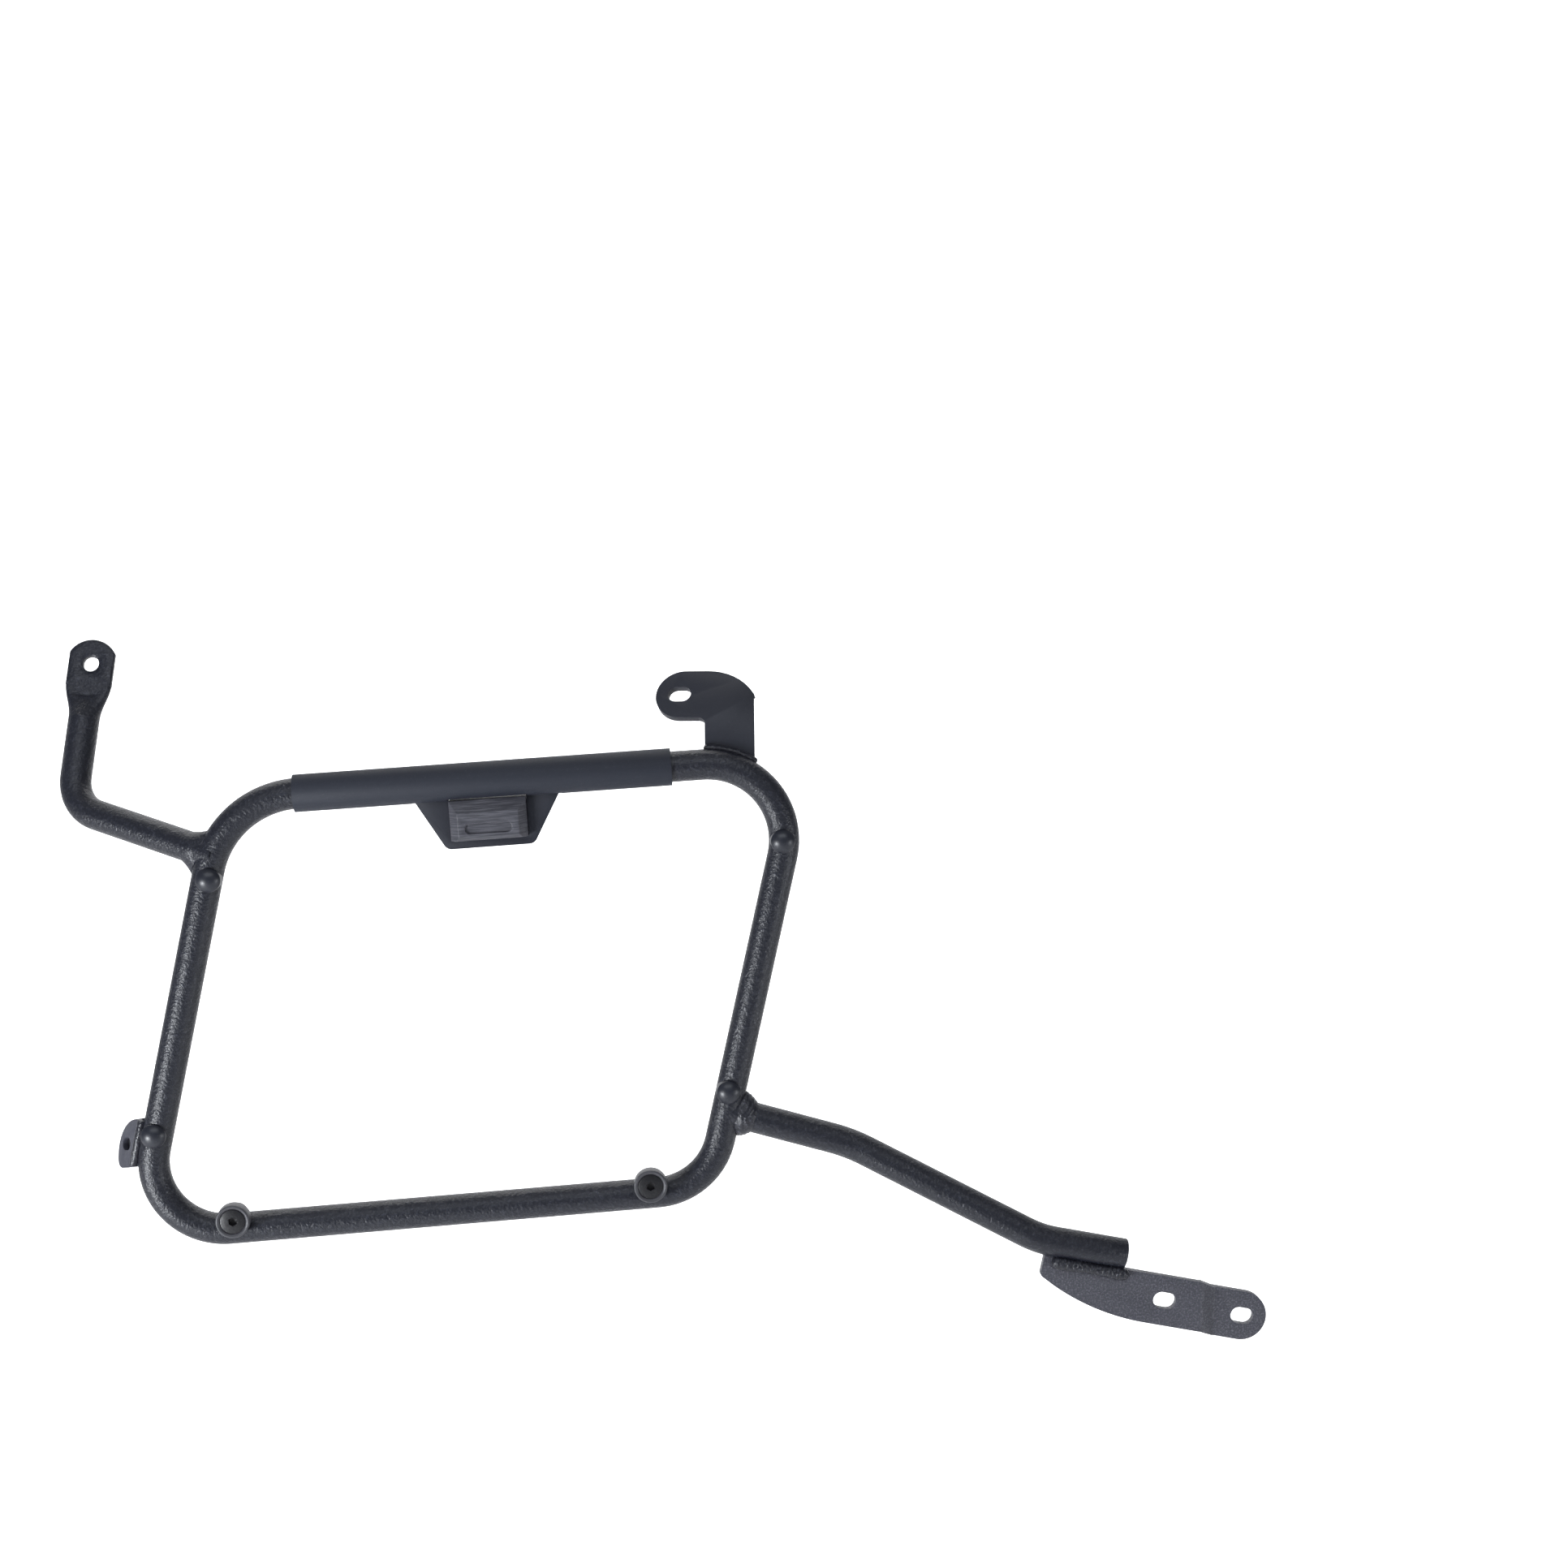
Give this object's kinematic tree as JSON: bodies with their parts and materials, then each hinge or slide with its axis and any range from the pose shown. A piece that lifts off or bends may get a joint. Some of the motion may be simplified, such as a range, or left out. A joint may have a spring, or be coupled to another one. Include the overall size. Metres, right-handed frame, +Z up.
{
  "type": "pannier frame",
  "caption": "Right-hand motorcycle side case frame: a bent steel tube loop with two struts, slotted brackets, case pads and a catch block",
  "frame": {"origin": "Centre of the M8 hole in the rear strut's flattened end, mid-thickness", "axes": "+X to the front of the motorcycle along the bottom tube, +Y inboard towards the wheel, +Z up"},
  "size_m": [0.6196, 0.1024, 0.4123],
  "materials": {
    "tube_coat": "black satin powder coat with fine grain",
    "plate_coat": "dark grey grained powder coat",
    "arm_coat": "smooth dark blue-grey powder coat",
    "weld_coat": "powder coat over a rippled weld",
    "catch_plastic": "semi-gloss dark grey moulded plastic",
    "cover_plastic": "matt smooth dark grey plastic",
    "pad_rubber": "dark grey rubber",
    "screw_black": "black zinc",
    "plug_plastic": "smooth dark plastic"
  },
  "bodies": {
    "root": {"loop_tube": "tube_coat", "rear_strut": "tube_coat", "front_strut": "tube_coat", "stud_bush_rear": "tube_coat", "stud_bush_front": "tube_coat", "footpeg_bracket": "plate_coat", "brace_tab": "plate_coat", "brace_nut": "plate_coat", "lock_plate": "plate_coat", "upper_bracket": "arm_coat", "weld_rear_strut": "weld_coat", "weld_front_strut": "weld_coat", "weld_footpeg_front": "weld_coat", "weld_footpeg_back": "weld_coat", "weld_upper_bracket": "weld_coat", "weld_brace_tab": "weld_coat", "catch_block": "catch_plastic", "tube_cover": "cover_plastic", "puck_rear": "pad_rubber", "puck_front": "pad_rubber", "puck_screw_rear": "screw_black", "puck_screw_front": "screw_black", "plug_upper_rear": "plug_plastic", "plug_lower_rear": "plug_plastic", "plug_upper_front": "plug_plastic", "plug_lower_front": "plug_plastic"}
  },
  "joints": []
}
